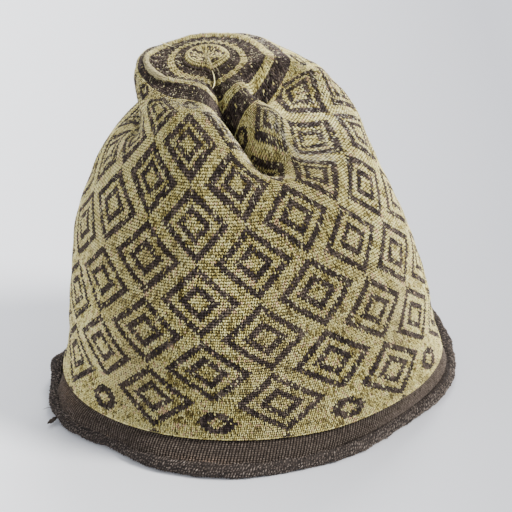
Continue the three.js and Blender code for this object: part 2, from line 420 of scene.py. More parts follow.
# %% Yarn colours
PALE_DARKEST = (0.17, 0.125, 0.035)
PALE_MIDDLE = (0.75, 0.64, 0.21)
PALE_LIGHTEST = (1.0, 0.93, 0.44)
PALE_ROSY = (0.78, 0.52, 0.30)
BROWN_DARKEST = (0.020, 0.014, 0.014)
BROWN_MIDDLE = (0.062, 0.045, 0.042)
BROWN_LIGHTEST = (0.17, 0.13, 0.10)
FADED_PALE = (0.60, 0.50, 0.26)
FADED_BROWN = (0.085, 0.06, 0.042)
# The rubbed colours of the crown's yarns also serve as a painted highlight along the crests.
WORN_AND_HIGHLIGHT_PALE = (1.0, 0.95, 0.68)
WORN_AND_HIGHLIGHT_BROWN = (0.55, 0.50, 0.40)
BAND_TONES = ((0.030, 0.022, 0.017), (0.125, 0.096, 0.077), (0.25, 0.20, 0.160))
FADED_BAND = (0.12, 0.09, 0.066)
WORN_BAND = (0.40, 0.27, 0.19)
EDGE_TONES = ((0.032, 0.024, 0.020), (0.135, 0.106, 0.088), (0.27, 0.225, 0.190))
FADED_EDGE = (0.11, 0.082, 0.062)
WORN_EDGE = (0.35, 0.28, 0.24)
HALF_FADED = (0.5, 0.5, 0.5)


def yarn_material(name, tones, faded_colour, worn_colour, roughness):
    material, nodes, links, shader = start_material(name, roughness)
    tone = nodes.new("ShaderNodeAttribute")
    tone.attribute_name = "tone"
    ramp = colour_ramp(nodes, tones)
    links.new(tone.outputs["Fac"], ramp.inputs["Fac"])
    patches = noise_on_object(nodes, links, 28.0, 3.0)
    patch_ramp = colour_ramp(nodes, ((0.46, BLACK), (0.76, HALF_FADED)))
    links.new(patches.outputs["Fac"], patch_ramp.inputs["Fac"])
    colour = mix_in(nodes, links, patch_ramp.outputs["Color"], ramp.outputs["Color"], faded_colour)
    wear = nodes.new("ShaderNodeAttribute")
    wear.attribute_name = "wear"
    colour = mix_in(nodes, links, wear.outputs["Fac"], colour, worn_colour)
    links.new(colour, shader.inputs["Base Color"])
    fibre_bump(nodes, links, shader, scale=2600.0, strength=0.25, distance=0.0002)
    return material


def even_tones(colours):
    return tuple(zip((0.0, 0.5, 1.0), colours))


pale_tones = ((0.0, PALE_DARKEST), (0.4, PALE_MIDDLE), (0.8, PALE_LIGHTEST), (0.985, PALE_LIGHTEST),
              (1.0, PALE_ROSY))
brown_tones = even_tones((BROWN_DARKEST, BROWN_MIDDLE, BROWN_LIGHTEST))
pale_yarn = yarn_material("pale silk yarn", pale_tones, FADED_PALE, WORN_AND_HIGHLIGHT_PALE, 0.45)
brown_yarn = yarn_material("brown silk yarn", brown_tones, FADED_BROWN, WORN_AND_HIGHLIGHT_BROWN, 0.65)
band_yarn = yarn_material("fine brown yarn", even_tones(BAND_TONES), FADED_BAND, WORN_BAND, 0.7)
edge_yarn = yarn_material("coarse brown yarn", even_tones(EDGE_TONES), FADED_EDGE, WORN_EDGE, 0.75)
print("yarns:", ", ".join(yarn.name for yarn in (pale_yarn, brown_yarn, band_yarn, edge_yarn)))

# %% [markdown]
# Behind the stitches lies the back of the knit. From outside it shows only as dark gaps, and from
# below it is the whole inside of the cap. Its material draws the chart's diamonds with nodes: the
# UV map holds the chart's own coordinates, and the ring distance is two absolute values added
# together.

# %% The cloth behind the stitches
MOST_STEPS = 20.0


def chart_math(nodes, links, operation, first, second=None):
    node = add_node(nodes, "ShaderNodeMath", operation=operation)
    for i, source in enumerate((first, second)):
        if source is None:
            continue
        if hasattr(source, "is_output"):
            links.new(source, node.inputs[i])
        else:
            node.inputs[i].default_value = source
    return node.outputs[0]


def diamond_rings(nodes, links, across, up, shift):
    near = []
    for source, offset, size in ((across, shift, REPEAT_STITCHES), (up, shift, REPEAT_ROWS)):
        moved = chart_math(nodes, links, "ADD", source, 0.5 + offset)
        share = chart_math(nodes, links, "FRACT", moved)
        centred = chart_math(nodes, links, "SUBTRACT", share, 0.5)
        size_away = chart_math(nodes, links, "ABSOLUTE", centred)
        near.append(chart_math(nodes, links, "MULTIPLY", size_away, float(size)))
    steps = chart_math(nodes, links, "ADD", near[0], near[1])
    scaled = chart_math(nodes, links, "DIVIDE", steps, MOST_STEPS)
    stops = [(0, BLACK)]
    for low, high in BROWN_DIAMOND_RINGS:
        stops += [((low - 0.5) / MOST_STEPS, WHITE), ((high + 0.5) / MOST_STEPS, BLACK)]
    rings = colour_ramp(nodes, stops, "CONSTANT")
    links.new(scaled, rings.inputs["Fac"])
    return rings.outputs["Color"]


def cloth_back_material():
    material, nodes, links, shader = start_material("back of the knit", 0.85)
    uv = nodes.new("ShaderNodeUVMap")
    uv.uv_map = "chart"
    split = nodes.new("ShaderNodeSeparateXYZ")
    links.new(uv.outputs["UV"], split.inputs["Vector"])
    repeats = CHART_STITCHES / REPEAT_STITCHES
    across = chart_math(nodes, links, "MULTIPLY", split.outputs[0], repeats)
    across = chart_math(nodes, links, "SUBTRACT", across, FIRST_DIAMOND_TURN / 360 * repeats)
    row = chart_math(nodes, links, "MULTIPLY", split.outputs[1], float(CROWN_ROWS))
    up = chart_math(nodes, links, "SUBTRACT", row, FIRST_DIAMOND_ROW + 0.5)
    up = chart_math(nodes, links, "DIVIDE", up, float(REPEAT_ROWS))
    first = diamond_rings(nodes, links, across, up, 0.0)
    second = diamond_rings(nodes, links, across, up, 0.5)
    brown = chart_math(nodes, links, "MAXIMUM", first, second)
    below_rounds = chart_math(nodes, links, "LESS_THAN", row, float(DIAMOND_TOP_ROW))
    brown = chart_math(nodes, links, "MULTIPLY", brown, below_rounds)
    noise = noise_on_object(nodes, links, 1500.0, 2.0)
    speckle = colour_ramp(nodes, ((0.35, (0.10, 0.08, 0.04)), (0.7, (0.55, 0.48, 0.24))))
    links.new(noise.outputs["Fac"], speckle.inputs["Fac"])
    colour = mix_in(nodes, links, brown, speckle.outputs["Color"], BROWN_DARKEST)
    links.new(colour, shader.inputs["Base Color"])
    fibre_bump(nodes, links, shader, scale=900.0, strength=0.5, distance=0.0004)
    return material


def plain_back_material(name, dark, light):
    material, nodes, links, shader = start_material(name, 0.9)
    noise = noise_on_object(nodes, links, 900.0, 3.0)
    ramp = colour_ramp(nodes, ((0.3, dark), (0.75, light)))
    links.new(noise.outputs["Fac"], ramp.inputs["Fac"])
    links.new(ramp.outputs["Color"], shader.inputs["Base Color"])
    fibre_bump(nodes, links, shader, scale=1100.0, strength=0.5, distance=0.0004)
    return material


crown_back = cloth_back_material()
crown_gaps = plain_back_material(
    "shade between the stitches", (0.010, 0.007, 0.004), (0.060, 0.046, 0.020))
band_back = plain_back_material("back of the band", (0.010, 0.008, 0.006), (0.045, 0.034, 0.028))
edge_back = plain_back_material("core of the rolled edge", (0.010, 0.008, 0.007), (0.045, 0.035, 0.030))
print("backs:", ", ".join(back.name for back in (crown_gaps, crown_back, band_back, edge_back)))

# %% [markdown]
# ## The crown's cloth
#
# The cloth starts as a flat grid, as the knit lies on a table, with one side for the turns and the
# other for the rows. Its vertices are then moved to their places on the cap, the two sides are
# sewn by merging doubles, and Solidify gives the wall. A sculpted sphere would be quicker, but its
# faces would not follow the rows.

# %% Small relief of the cloth
GATHER_COUNT = 34
GATHER_ROW = 152
PIPING_ROW = 142.5
PIPING_LIFT = 0.0007
PIPING_LIFT_BEHIND = 0.0012
ROSETTE_LIFT = 0.0022
LUMP_LIFT = 0.0007


def bell(value, middle, spread):
    return np.exp(-((value - middle) / spread) ** 2)


def smooth_step(value, low, high):
    t = np.clip((value - low) / (high - low), 0, 1)
    return t * t * (3 - 2 * t)


def crown_relief(turn, row):
    angle = np.radians(turn)
    gathers = np.cos(GATHER_COUNT * angle + 1.5 * np.sin(3 * angle))
    relief = 0.0004 * bell(row, GATHER_ROW, 9) * gathers - 0.0008 * bell(row, GATHER_ROW, 5)
    piping = PIPING_LIFT + PIPING_LIFT_BEHIND * bell(turn_between(turn, 180), 0, 60)
    relief += piping * bell(row, PIPING_ROW, 2.5)
    relief += ROSETTE_LIFT * smooth_step(row, ROSETTE_ROW - 1, ROSETTE_ROW + 1)
    relief += 0.0006 * bell(row, ROSETTE_ROW + 1.5, 1.2) - 0.0014 * bell(row, CROWN_ROWS, 4.5)
    slow = np.sin(3 * angle + row * 0.11) * np.sin(5 * angle - row * 0.07 + 1.3)
    fine = np.sin(11 * angle + row * 0.23) * np.sin(7 * angle - row * 0.31 + 0.4)
    lumps = LUMP_LIFT * (slow + 0.4 * fine)
    return relief + lumps * np.clip((150 - row) / 20, 0, 1) * np.clip(row / 12, 0, 1)


print(GATHER_COUNT, "gathers round the closing at row", GATHER_ROW)

# %% Grid to cloth
CLOTH_DEPTH = 0.00055
CLOTH_THICKNESS = 0.0009
CROWN_GRID = (162, 112)
MERGE_DISTANCE = 0.00001


def select_only(piece):
    bpy.ops.object.select_all(action="DESELECT")
    piece.select_set(True)
    bpy.context.view_layer.objects.active = piece


def edit_all(piece, operator, **settings):
    select_only(piece)
    bpy.ops.object.mode_set(mode="EDIT")
    bpy.ops.mesh.select_all(action="SELECT")
    operator(**settings)
    bpy.ops.object.mode_set(mode="OBJECT")


def move_corners(mesh, moved):
    corners = np.empty(len(mesh.vertices) * 3)
    mesh.vertices.foreach_get("co", corners)
    mesh.vertices.foreach_set("co", moved(*corners.reshape(-1, 3).T).ravel())
    mesh.update()


def cloth_from_grid(name, columns, levels, place):
    bpy.ops.mesh.primitive_grid_add(x_subdivisions=columns, y_subdivisions=levels, size=2)
    piece = bpy.context.object
    piece.name = name
    piece.data.uv_layers[0].name = "chart"
    move_corners(piece.data, lambda x, y, z: place((x + 1) / 2 * 360, (y + 1) / 2))
    edit_all(piece, bpy.ops.mesh.remove_doubles, threshold=MERGE_DISTANCE)
    return piece


def thicken(piece, thickness, inner_material=0):
    select_only(piece)
    wall = piece.modifiers.new("wall", "SOLIDIFY")
    wall.thickness = thickness
    wall.offset = -1
    wall.material_offset = inner_material
    bpy.ops.object.modifier_apply(modifier=wall.name)
    bpy.ops.object.shade_smooth()


def finish_piece(piece, material, slot_name, stands_for=None):
    if material:
        piece.data.materials.append(material)
    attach(piece, "root")
    if stands_for:
        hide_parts(stands_for)
    print(piece.name, "has", len(piece.data.polygons), "faces")


def crown_cloth_place(turn, level):
    row = level * CROWN_ROWS
    depth = crown_relief(turn, row) - CLOTH_DEPTH
    return crown_place(turn, row) + crown_outward(turn, row) * depth[:, None]


crown_cloth = cloth_from_grid("crown_cloth", *CROWN_GRID, crown_cloth_place)
crown_cloth.data.materials.append(crown_gaps)
crown_cloth.data.materials.append(crown_back)
thicken(crown_cloth, CLOTH_THICKNESS, inner_material=1)
finish_piece(crown_cloth, None, "crown_knit", "crown")

# %% [markdown]
# ## Stitches
#
# Seen from the right side, a knit stitch is a V. Each leg of the V is a short fat strand that
# comes up from behind the stitch below and goes in behind the stitch above. A leg here is a small
# closed body of five corners: two tips, two sides and a crest. It is modelled once and laid down
# tens of thousands of times by arrays of corners, which is quicker and lighter than as many
# objects, and each leg keeps its own place, tone and thickness.

# %% Legs laid along the cloth
LEG_CORNERS = 5
LEG_FACES = np.array([(0, 4, 2), (0, 3, 4), (0, 2, 3), (1, 2, 4), (1, 4, 3), (1, 3, 2)])


def leg_corners(start, end, outward, width, height):
    along = end - start
    across = unit(np.cross(outward, along)) * np.reshape(width, (-1, 1)) / 2
    middle = (start + end) / 2
    crest = middle + outward * np.reshape(height, (-1, 1))
    return np.stack([start, end, middle - across, middle + across, crest], axis=1)


def give_numbers(mesh, repeats, **numbers):
    count = len(mesh.vertices) // repeats
    for name, values in numbers.items():
        each = np.repeat(np.broadcast_to(values, count), repeats)
        layer = mesh.attributes.new(name, "FLOAT", "POINT")
        layer.data.foreach_set("value", each.astype(np.float32))


def mesh_of_legs(name, corners, tones, chart_places, wear=0.0):
    count = len(corners)
    faces = (LEG_FACES[None] + LEG_CORNERS * np.arange(count)[:, None, None]).reshape(-1, 3)
    mesh = bpy.data.meshes.new(name)
    mesh.vertices.add(count * LEG_CORNERS)
    mesh.vertices.foreach_set("co", corners.reshape(-1))
    mesh.loops.add(faces.size)
    mesh.loops.foreach_set("vertex_index", faces.ravel().astype(np.int32))
    mesh.polygons.add(len(faces))
    mesh.polygons.foreach_set("loop_start", np.arange(0, faces.size, 3, dtype=np.int32))
    give_numbers(mesh, LEG_CORNERS, tone=tones, wear=wear)
    uv = mesh.uv_layers.new(name="chart")
    uv.data.foreach_set("uv", chart_places.reshape(-1, 2)[faces.ravel()].ravel())
    mesh.update(calc_edges=True)
    mesh.shade_smooth()
    piece = bpy.data.objects.new(name, mesh)
    bpy.context.collection.objects.link(piece)
    return piece


print("a leg has", LEG_CORNERS, "corners and", len(LEG_FACES), "faces")

# %% Stitches round by round
ROUND_COUNTS = (
    # rows up to, stitches to the round
    (134, 324), (146, 216), (156, 144), (162, 96), (168, 48),
)
FOOT_ROWS = (0.02, CROWN_ROWS - 0.3)
HEAD_ROWS = (0.02, CROWN_ROWS - 0.1)
FOOT_LIFT = 0.00012
HEAD_LIFT = -0.00030
LEG_WIDTH_SHARE = 0.37
LEG_HEIGHT_SHARE = 0.36
LEG_HEIGHTS = (0.0001, 0.00055)


def crown_rounds():
    turns, rows, widths = [], [], []
    for row in range(CROWN_ROWS):
        count = next(number for limit, number in ROUND_COUNTS if row < limit)
        turns.append((np.arange(count) + 0.5) * 360 / count)
        rows.append(np.full(count, float(row)))
        widths.append(np.full(count, 360 / count))
    return np.concatenate(turns), np.concatenate(rows), np.concatenate(widths)


def laid_place(turn, row, lift):
    away = crown_relief(turn, row) + lift
    return crown_place(turn, row) + crown_outward(turn, row) * away[:, None]


def crown_leg(turn, row, cell, side, fatness):
    count = len(turn)
    wobble = random.normal(0, 1, (count, 5))
    foot_turn = turn + side * cell * (0.10 + 0.05 * wobble[:, 0])
    head_turn = turn + side * cell * (0.40 + 0.06 * wobble[:, 1])
    foot_row = np.clip(row - 0.22 + 0.10 * wobble[:, 2], *FOOT_ROWS)
    head_row = np.clip(row + 1.12 + 0.10 * wobble[:, 3], *HEAD_ROWS)
    start = laid_place(foot_turn, foot_row, FOOT_LIFT)
    end = laid_place(head_turn, head_row, HEAD_LIFT)
    outward = crown_outward(turn, row)
    left = crown_place(turn - cell / 2, row)
    right = crown_place(turn + cell / 2, row)
    cell_width = np.linalg.norm(right - left, axis=1)
    width = cell_width * fatness * (LEG_WIDTH_SHARE + 0.06 * wobble[:, 4])
    height = np.clip(cell_width * LEG_HEIGHT_SHARE, *LEG_HEIGHTS)
    corners = leg_corners(start, end, outward, width, height)
    middle = (foot_turn + head_turn) / 2
    across = np.stack([foot_turn, head_turn, middle - 0.25 * cell, middle + 0.25 * cell, middle], -1)
    up = np.stack([foot_row, head_row, row + 0.4, row + 0.4, row + 0.45], -1)
    return corners, np.stack([across / 360, up / CROWN_ROWS], -1)


stitch_turn, stitch_row, stitch_cell = crown_rounds()
print(len(stitch_turn), "stitches in the crown")

# %% [markdown]
# A stitch has the colour that the chart gives it and a tone by chance, shared in part with the few
# stitches around it. Here and there a leg has the other colour, where the yarn behind shows
# through. Age and light are worked along soft stripes, laid as the folds are: some are rubbed pale
# along the crests, partly wear and partly a painted highlight; one paints shade on the left
# shoulder, one paints a highlight on the piping and one is dimmer below it; and in some the brown
# yarn is mixed in among the pale.

# %% Colours of the stitches
TONE_SPREAD = 0.26
BROWN_FATNESS = 1.38
BROWN_SHARE_OF_MIDDLE = 0.45
SPECK_SHARE = 0.06
SPECK_SHARE_OF_ROUNDS = 0.015
CLUSTER_STITCHES = 2
CLUSTER_ROWS = 3
CLUSTER_SPREAD = 0.17
RUBBED_AND_HIGHLIGHT_SHARE = 0.55
# These stripes pale the legs along the crests and the piping: partly real rubbing, partly a painted
# highlight.
WORN_AND_HIGHLIGHT_STRIPES = (
    {"path": ((-40, 133), (2, 126), (34, 95)), "width": 0.04, "wear": 0.85},
    {"path": ((49, 130), (46, 106), (64, 91)), "width": 0.035, "wear": 1.0},
    {"path": ((110, 124), (82, 104), (60, 90)), "width": 0.16, "wear": 0.25},
    {"path": ((-85, 141), (-40, 143), (-4, 142)), "width": 0.02, "wear": 0.5},
    {"path": ((105, 133), (180, 141), (255, 133)), "width": 0.03, "wear": 0.7},
)
LIGHT_SHADE_AND_TONE_STRIPES = (
    # The first stripe is painted shade on the left shoulder, away from the light. The second is a dimmer
    # stretch below the piping. The third is a painted highlight along the piping's crest.
    {"path": ((-60, 116), (-92, 108), (-135, 112)), "width": 0.16, "tone": -0.30},
    {"path": ((-90, 127), (-45, 128), (-5, 126)), "width": 0.06, "tone": -0.15},
    {"path": ((-108, 142), (-52, 143), (-6, 142)), "width": 0.025, "tone": 0.30},
)
BROWN_MIXES = (
    {"path": ((-95, 127), (-45, 128), (-5, 125)), "width": 0.07, "share": 0.40},
    {"path": ((-62, 112), (-88, 113), (-125, 116)), "width": 0.14, "share": 0.38},
    {"path": ((88, 134), (120, 124), (140, 104)), "width": 0.16, "share": 0.12},
)
brown_stitch = is_brown(stitch_turn, stitch_row)
mottled = stitch_row >= ROSETTE_ROW + 2
brown_stitch[mottled] = random.random(int(mottled.sum())) < BROWN_SHARE_OF_MIDDLE
worn_and_highlight = sum(stripe["wear"] * fold_hold(stripe, stitch_turn, stitch_row)[0] for stripe in WORN_AND_HIGHLIGHT_STRIPES)
cluster_grid = (CHART_STITCHES // CLUSTER_STITCHES, CROWN_ROWS // CLUSTER_ROWS)
clusters = random.normal(0, CLUSTER_SPREAD, cluster_grid)
cluster_across = (stitch_turn / 360 * CHART_STITCHES / CLUSTER_STITCHES).astype(int)
cluster_tones = clusters[cluster_across, (stitch_row / CLUSTER_ROWS).astype(int)]
# These stripes add painted shade and a painted highlight to the tones.
for stripe in LIGHT_SHADE_AND_TONE_STRIPES:
    cluster_tones += stripe["tone"] * fold_hold(stripe, stitch_turn, stitch_row)[0]
mixed_share = sum(mix["share"] * fold_hold(mix, stitch_turn, stitch_row)[0] for mix in BROWN_MIXES)
speck_share = np.where(stitch_row < DIAMOND_TOP_ROW, SPECK_SHARE, SPECK_SHARE_OF_ROUNDS)
fatness = np.where(brown_stitch, BROWN_FATNESS, 1.0)
crown_legs = {"pale": [], "brown": []}
for side in (-1, 1):
    corners, places = crown_leg(stitch_turn, stitch_row, stitch_cell, side, fatness)
    tones = np.clip(random.normal(0.5, TONE_SPREAD, len(corners)) + cluster_tones, 0, 1)
    swapped = random.random(len(corners)) < speck_share
    # Legs in the crest stripes take the rubbed colour, partly wear and partly painted highlight.
    rubbed_and_highlight = random.random(len(corners)) < RUBBED_AND_HIGHLIGHT_SHARE * np.clip(worn_and_highlight, 0, 1)
    wear = rubbed_and_highlight * (0.35 + 0.5 * random.random(len(corners)))
    leg_is_brown = brown_stitch & ~(swapped & (stitch_row > 2))
    leg_is_brown |= random.random(len(corners)) < mixed_share
    for colour, chosen in (("brown", leg_is_brown), ("pale", ~leg_is_brown)):
        columns = (corners, tones, places, wear, stitch_turn)
        crown_legs[colour].append([column[chosen] for column in columns])
for colour, parts in crown_legs.items():
    crown_legs[colour] = [np.concatenate(column) for column in zip(*parts)]
    print(colour, "legs:", len(crown_legs[colour][0]))

# %% [markdown]
# The stitches are kept in a few pieces by colour and by sector of the cap, so that no single mesh
# grows too large to handle.

# %% Stitches of the crown
for colour, material, sectors in (("pale", pale_yarn, 3), ("brown", brown_yarn, 2)):
    corners, tones, places, wear, turns = crown_legs[colour]
    for sector in range(sectors):
        inside = np.floor(turns / 360 * sectors).astype(int) == sector
        chart_places = places[inside] * np.array([sectors, 1]) - np.array([sector, 0])
        piece_name = f"crown_{colour}_stitches_{sector + 1}"
        piece = mesh_of_legs(piece_name, corners[inside], tones[inside], chart_places, wear[inside])
        finish_piece(piece, material, "crown_knit")

# %% [markdown]
# ## The crown's lower edge
#
# The last round of the crown is cast off over the band. It shows as a thin pale cord of slanting
# loops along the edge, with the band in its shadow. Each loop is one leg laid along the edge.

# %% Cast-off edge
EDGE_LOOP_TURN = 1.6
EDGE_LOOP_ROWS = 0.6
EDGE_LOOP_WIDTH = 0.0009
EDGE_LOOP_HEIGHT = 0.00035
EDGE_LOOP_LEAN = (0, 0, -0.4)
TURN_WITH_LAP = 361


def slanting_loops(turns):
    count = len(turns)
    rows = np.zeros(count)
    wobble = random.normal(0, 1, (count, 2))
    start = laid_place(turns, rows, 0.00005 * wobble[:, 0])
    end = laid_place(turns + EDGE_LOOP_TURN, rows + EDGE_LOOP_ROWS, -0.0002)
    outward = unit(crown_outward(turns, rows) + np.array(EDGE_LOOP_LEAN))
    width = EDGE_LOOP_WIDTH * (1 + 0.2 * wobble[:, 1])
    corners = leg_corners(start, end, outward, width, EDGE_LOOP_HEIGHT)
    tones = np.clip(random.normal(0.2, 0.25, count) + 0.4 * bell(turn_between(turns, -55), 0, 30), 0, 1)
    places = np.zeros((count, LEG_CORNERS, 2))
    places[..., 0] = (turns[:, None] + np.array([0, 1, 0.5, 0.5, 0.5]) * EDGE_LOOP_TURN) / TURN_WITH_LAP
    places[..., 1] = np.array([0.3, 0.7, 0.4, 0.6, 0.5])
    return mesh_of_legs("crown_edge_loops", corners, tones, places)


edge_loops = slanting_loops(np.arange(CHART_STITCHES) * 360 / CHART_STITCHES)
finish_piece(edge_loops, pale_yarn, "crown_knit")

# %% [markdown]
# ## The band
#
# The band comes out from under the crown's edge and swells a little before it meets the rolled
# edge. Its knit is a little finer, with 400 stitches to the round, and shows as narrow ribs.
# It is made as the crown is: a grid for the cloth and legs for the stitches.

# %% A place on the band
BAND_SWELL = 0.0010
BAND_SINK = 0.0010
BAND_CLEARANCE = 0.0002
BAND_HEM_LEVEL = 0.8
BAND_TOP_ROW = 4
BAND_FOOT_TUCK = 0.3
BAND_FOOT_SPREADS = (
    # turn, reach, amount
    (-48, 30, 0.75), (5, 25, 0.35), (50, 35, 0.55),
)
CREASE_DEPTH = 0.0020
EVENING_TURN = 4
EVENING_ROWS = 2


def crown_inside(turn, row):
    row = np.full_like(turn, row)
    outward = crown_outward(turn, row, EVENING_TURN, EVENING_ROWS)
    return crown_place(turn, row) - outward * (CROWN_WALL + BAND_CLEARANCE)


# This share also sets where shade is painted on the band and on the roll.
def crease_share(turn):
    signed = turn_between(turn, 0)
    return smooth_step(signed, 16, 34) * (1 - smooth_step(signed, 84, 104))


def band_place(turn, level, lift=0.0):
    rim_radius, rim_height, rim_half = rim_at(turn)
    tuck = smooth_step(rim_height - ROLL_RADIUS, 0, BAND_TUCK_HEIGHT)
    foot_share = BAND_FOOT_TUCK
    for middle, reach, amount in BAND_FOOT_SPREADS:
        foot_share = foot_share - amount * bell(turn_between(turn, middle), 0, reach)
    angle = math.pi / 2 * (1 + foot_share + BAND_TUCK_SHARE * tuck)
    away = rim_half - BAND_SINK
    foot = polar(turn, rim_radius + away * np.cos(angle), rim_height + away * np.sin(angle)) - MIDDLE
    hem = crown_inside(turn, 0.0)
    top = crown_inside(turn, float(BAND_TOP_ROW))
    lower = np.clip(level / BAND_HEM_LEVEL, 0, 1)[:, None]
    upper = np.clip((level - BAND_HEM_LEVEL) / (1 - BAND_HEM_LEVEL), 0, 1)[:, None]
    place = foot + (hem - foot) * lower + (top - hem) * upper
    slope = hem - foot
    round_the_cap = polar(turn + 90, 1.0, 0)
    outward = unit(np.cross(round_the_cap, slope))
    swell = BAND_SWELL * np.sin(np.pi * lower[:, 0]) * (1 + 0.25 * np.sin(np.radians(turn) * 9))
    crease = CREASE_DEPTH * crease_share(turn) * bell(level, 0.0, 0.06)
    return place + outward * (swell + lift - crease)[:, None], outward


band_middle = band_place(np.array([0.0]), np.array([BAND_HEM_LEVEL / 2]))[0]
print("front of the band, in mm:", (band_middle * 1000).round(1))

# %% Cloth of the band
BAND_CLOTH_DEPTH = 0.00035
BAND_CLOTH_THICKNESS = 0.0008
BAND_GRID = (240, 14)


def band_cloth_place(turn, level):
    return band_place(turn, level, -BAND_CLOTH_DEPTH)[0]


band_cloth = cloth_from_grid("band_cloth", *BAND_GRID, band_cloth_place)
thicken(band_cloth, BAND_CLOTH_THICKNESS)
finish_piece(band_cloth, band_back, "band_knit", "band")

# %% Stitches of the band
BAND_STITCHES = 400
BAND_ROUNDS = 13
BAND_STITCHED_LEVEL = 0.86
BAND_LEG_WIDTH = 0.00052
BAND_LEG_HEIGHT = 0.00036
BAND_FOOT_LIFT = 0.00005
BAND_HEAD_LIFT = -0.00022


def band_legs():
    cell = 360 / BAND_STITCHES
    step = BAND_STITCHED_LEVEL / BAND_ROUNDS
    turn, level = np.meshgrid((np.arange(BAND_STITCHES) + 0.5) * cell, np.arange(BAND_ROUNDS) * step)
    turn = turn.ravel()
    level = level.ravel()
    all_corners, all_places = [], []
    for side in (-1, 1):
        wobble = random.normal(0, 1, (len(turn), 4))
        foot_turn = turn + side * cell * (0.07 + 0.02 * wobble[:, 0])
        head_turn = turn + side * cell * (0.18 + 0.03 * wobble[:, 1])
        foot_level = level - 0.15 * step
        head_level = level + step * (1.1 + 0.1 * wobble[:, 2])
        start, outward = band_place(foot_turn, foot_level, BAND_FOOT_LIFT)
        end, _ = band_place(head_turn, head_level, BAND_HEAD_LIFT)
        width = BAND_LEG_WIDTH * (1 + 0.10 * wobble[:, 3])
        all_corners.append(leg_corners(start, end, outward, width, BAND_LEG_HEIGHT))
        middle = (foot_turn + head_turn) / 2
        side_level = level + 0.4 * step
        across = np.stack([foot_turn, head_turn, middle - 0.2 * cell, middle + 0.2 * cell, middle], -1)
        up = np.stack([foot_level, head_level, side_level, side_level, level + 0.5 * step], -1)
        all_places.append(np.stack([across / 360, up], -1))
    return np.concatenate(all_corners), np.concatenate(all_places), np.concatenate([turn, turn])


band_corners, band_places, band_turns = band_legs()
band_levels = band_places[:, 0, 1]
# Painted shade: the band's tones are darkened at its foot, along the crease above the rolled edge.
painted_crease_shade = crease_share(band_turns) * bell(band_levels, 0.0, 0.08)
band_tones = np.clip(random.normal(0.5, 0.2, len(band_corners)) - 0.9 * painted_crease_shade, 0, 1)
band_wear = 0.55 * bell(turn_between(band_turns, -16), 0, 9) * bell(band_levels, 0.05, 0.14)
band_wear += 0.5 * bell(turn_between(band_turns, -74), 0, 9) * bell(band_levels, 0.5, 0.25)
band_wear *= random.random(len(band_wear))
band_wear += bell(turn_between(band_turns, -50), 0, 0.7) * bell(band_levels, 0.02, 0.05)
kept = bell(turn_between(band_turns, -66), 0, 1.1) * bell(band_levels, 0.8, 0.12) <= 0.35
band_stitches = mesh_of_legs("band_stitches", band_corners[kept], band_tones[kept], band_places[kept],
                             np.clip(band_wear, 0, 1)[kept])
finish_piece(band_stitches, band_yarn, "band_knit")

# %% [markdown]
# ## The rolled edge
#
# Knitted cloth curls at a free edge, and here it has curled into a soft roll with the back of the
# knit outside. The core is a torus whose vertices follow the lumps of the rim, and the back of the
# knit is rows of short cross-wise bumps.

# %% Core of the roll
ROLL_SEGMENTS = 240
ROLL_ROUND = 18
ROLL_CORE_DEPTH = 0.0003
LOWEST_CORE = 0.0001


def roll_place(turn, angle, lift=0.0):
    rim_radius, rim_height, rim_half = rim_at(turn)
    ripple = 0.0003 * np.sin(np.radians(turn) * 53 + 2 * angle) * np.sin(np.radians(turn) * 17 + 1)
    ripple += 0.0002 * np.sin(np.radians(turn) * 29 - 3 * angle + 2)
    reach = rim_half - ROLL_CORE_DEPTH + ripple + lift
    place = polar(turn, rim_radius + reach * np.cos(angle), rim_height + reach * np.sin(angle))
    place[:, 2] = np.maximum(place[:, 2], LOWEST_CORE)
    return place - MIDDLE


def torus_to_roll(x, y, z):
    return roll_place(np.degrees(np.arctan2(x, -y)), np.arctan2(z, np.hypot(x, y) - ROLL_CENTRE))


bpy.ops.mesh.primitive_torus_add(major_segments=ROLL_SEGMENTS, minor_segments=ROLL_ROUND,
                                 major_radius=ROLL_CENTRE, minor_radius=ROLL_RADIUS)
core = bpy.context.object
core.name = "rolled_edge_cloth"
move_corners(core.data, torus_to_roll)
select_only(core)
bpy.ops.object.shade_smooth()
finish_piece(core, edge_back, "edge_knit", "rolled_edge")

# %% Bumps of the roll
ROLL_STITCHES = 460
ROLL_ROUNDS = 15
ROLL_LEG_WIDTH = 0.00075
ROLL_LEG_HEIGHT = 0.00042
LOWEST_LEG = 0.00002


def roll_legs():
    cell = 360 / ROLL_STITCHES
    turn, angle = np.meshgrid((np.arange(ROLL_STITCHES) + 0.5) * cell,
                              (np.arange(ROLL_ROUNDS) + 0.5) / ROLL_ROUNDS * 2 * np.pi)
    angle = angle + np.radians(turn) * 0.5
    turn = (turn + 0.25 * (np.arange(ROLL_ROUNDS) % 2)[:, None]).ravel()
    angle = angle.ravel()
    wobble = random.normal(0, 1, (len(turn), 5))
    angle = angle + 0.09 * wobble[:, 2]
    start_turn = turn - cell * (0.34 + 0.10 * wobble[:, 0])
    end_turn = turn + cell * (0.34 + 0.10 * wobble[:, 1])
    tilt = 0.16 + 0.10 * wobble[:, 3]
    start = roll_place(start_turn, angle - tilt, 0.00008)
    end = roll_place(end_turn, angle + tilt, 0.00002)
    outward = unit(roll_place(turn, angle, 0.001) - roll_place(turn, angle))
    width = ROLL_LEG_WIDTH * (1 + 0.15 * wobble[:, 3])
    height = ROLL_LEG_HEIGHT * (1 + 0.25 * wobble[:, 4])
    corners = leg_corners(start, end, outward, width, height)
    corners[..., 2] = np.maximum(corners[..., 2], LOWEST_LEG)
    across = np.stack([start_turn, end_turn, turn, turn, turn], -1) / TURN_WITH_LAP + 0.001
    around = np.stack([angle, angle, angle - 0.1, angle + 0.1, angle], -1) / 10
    return corners, np.stack([across, around], -1), turn, angle


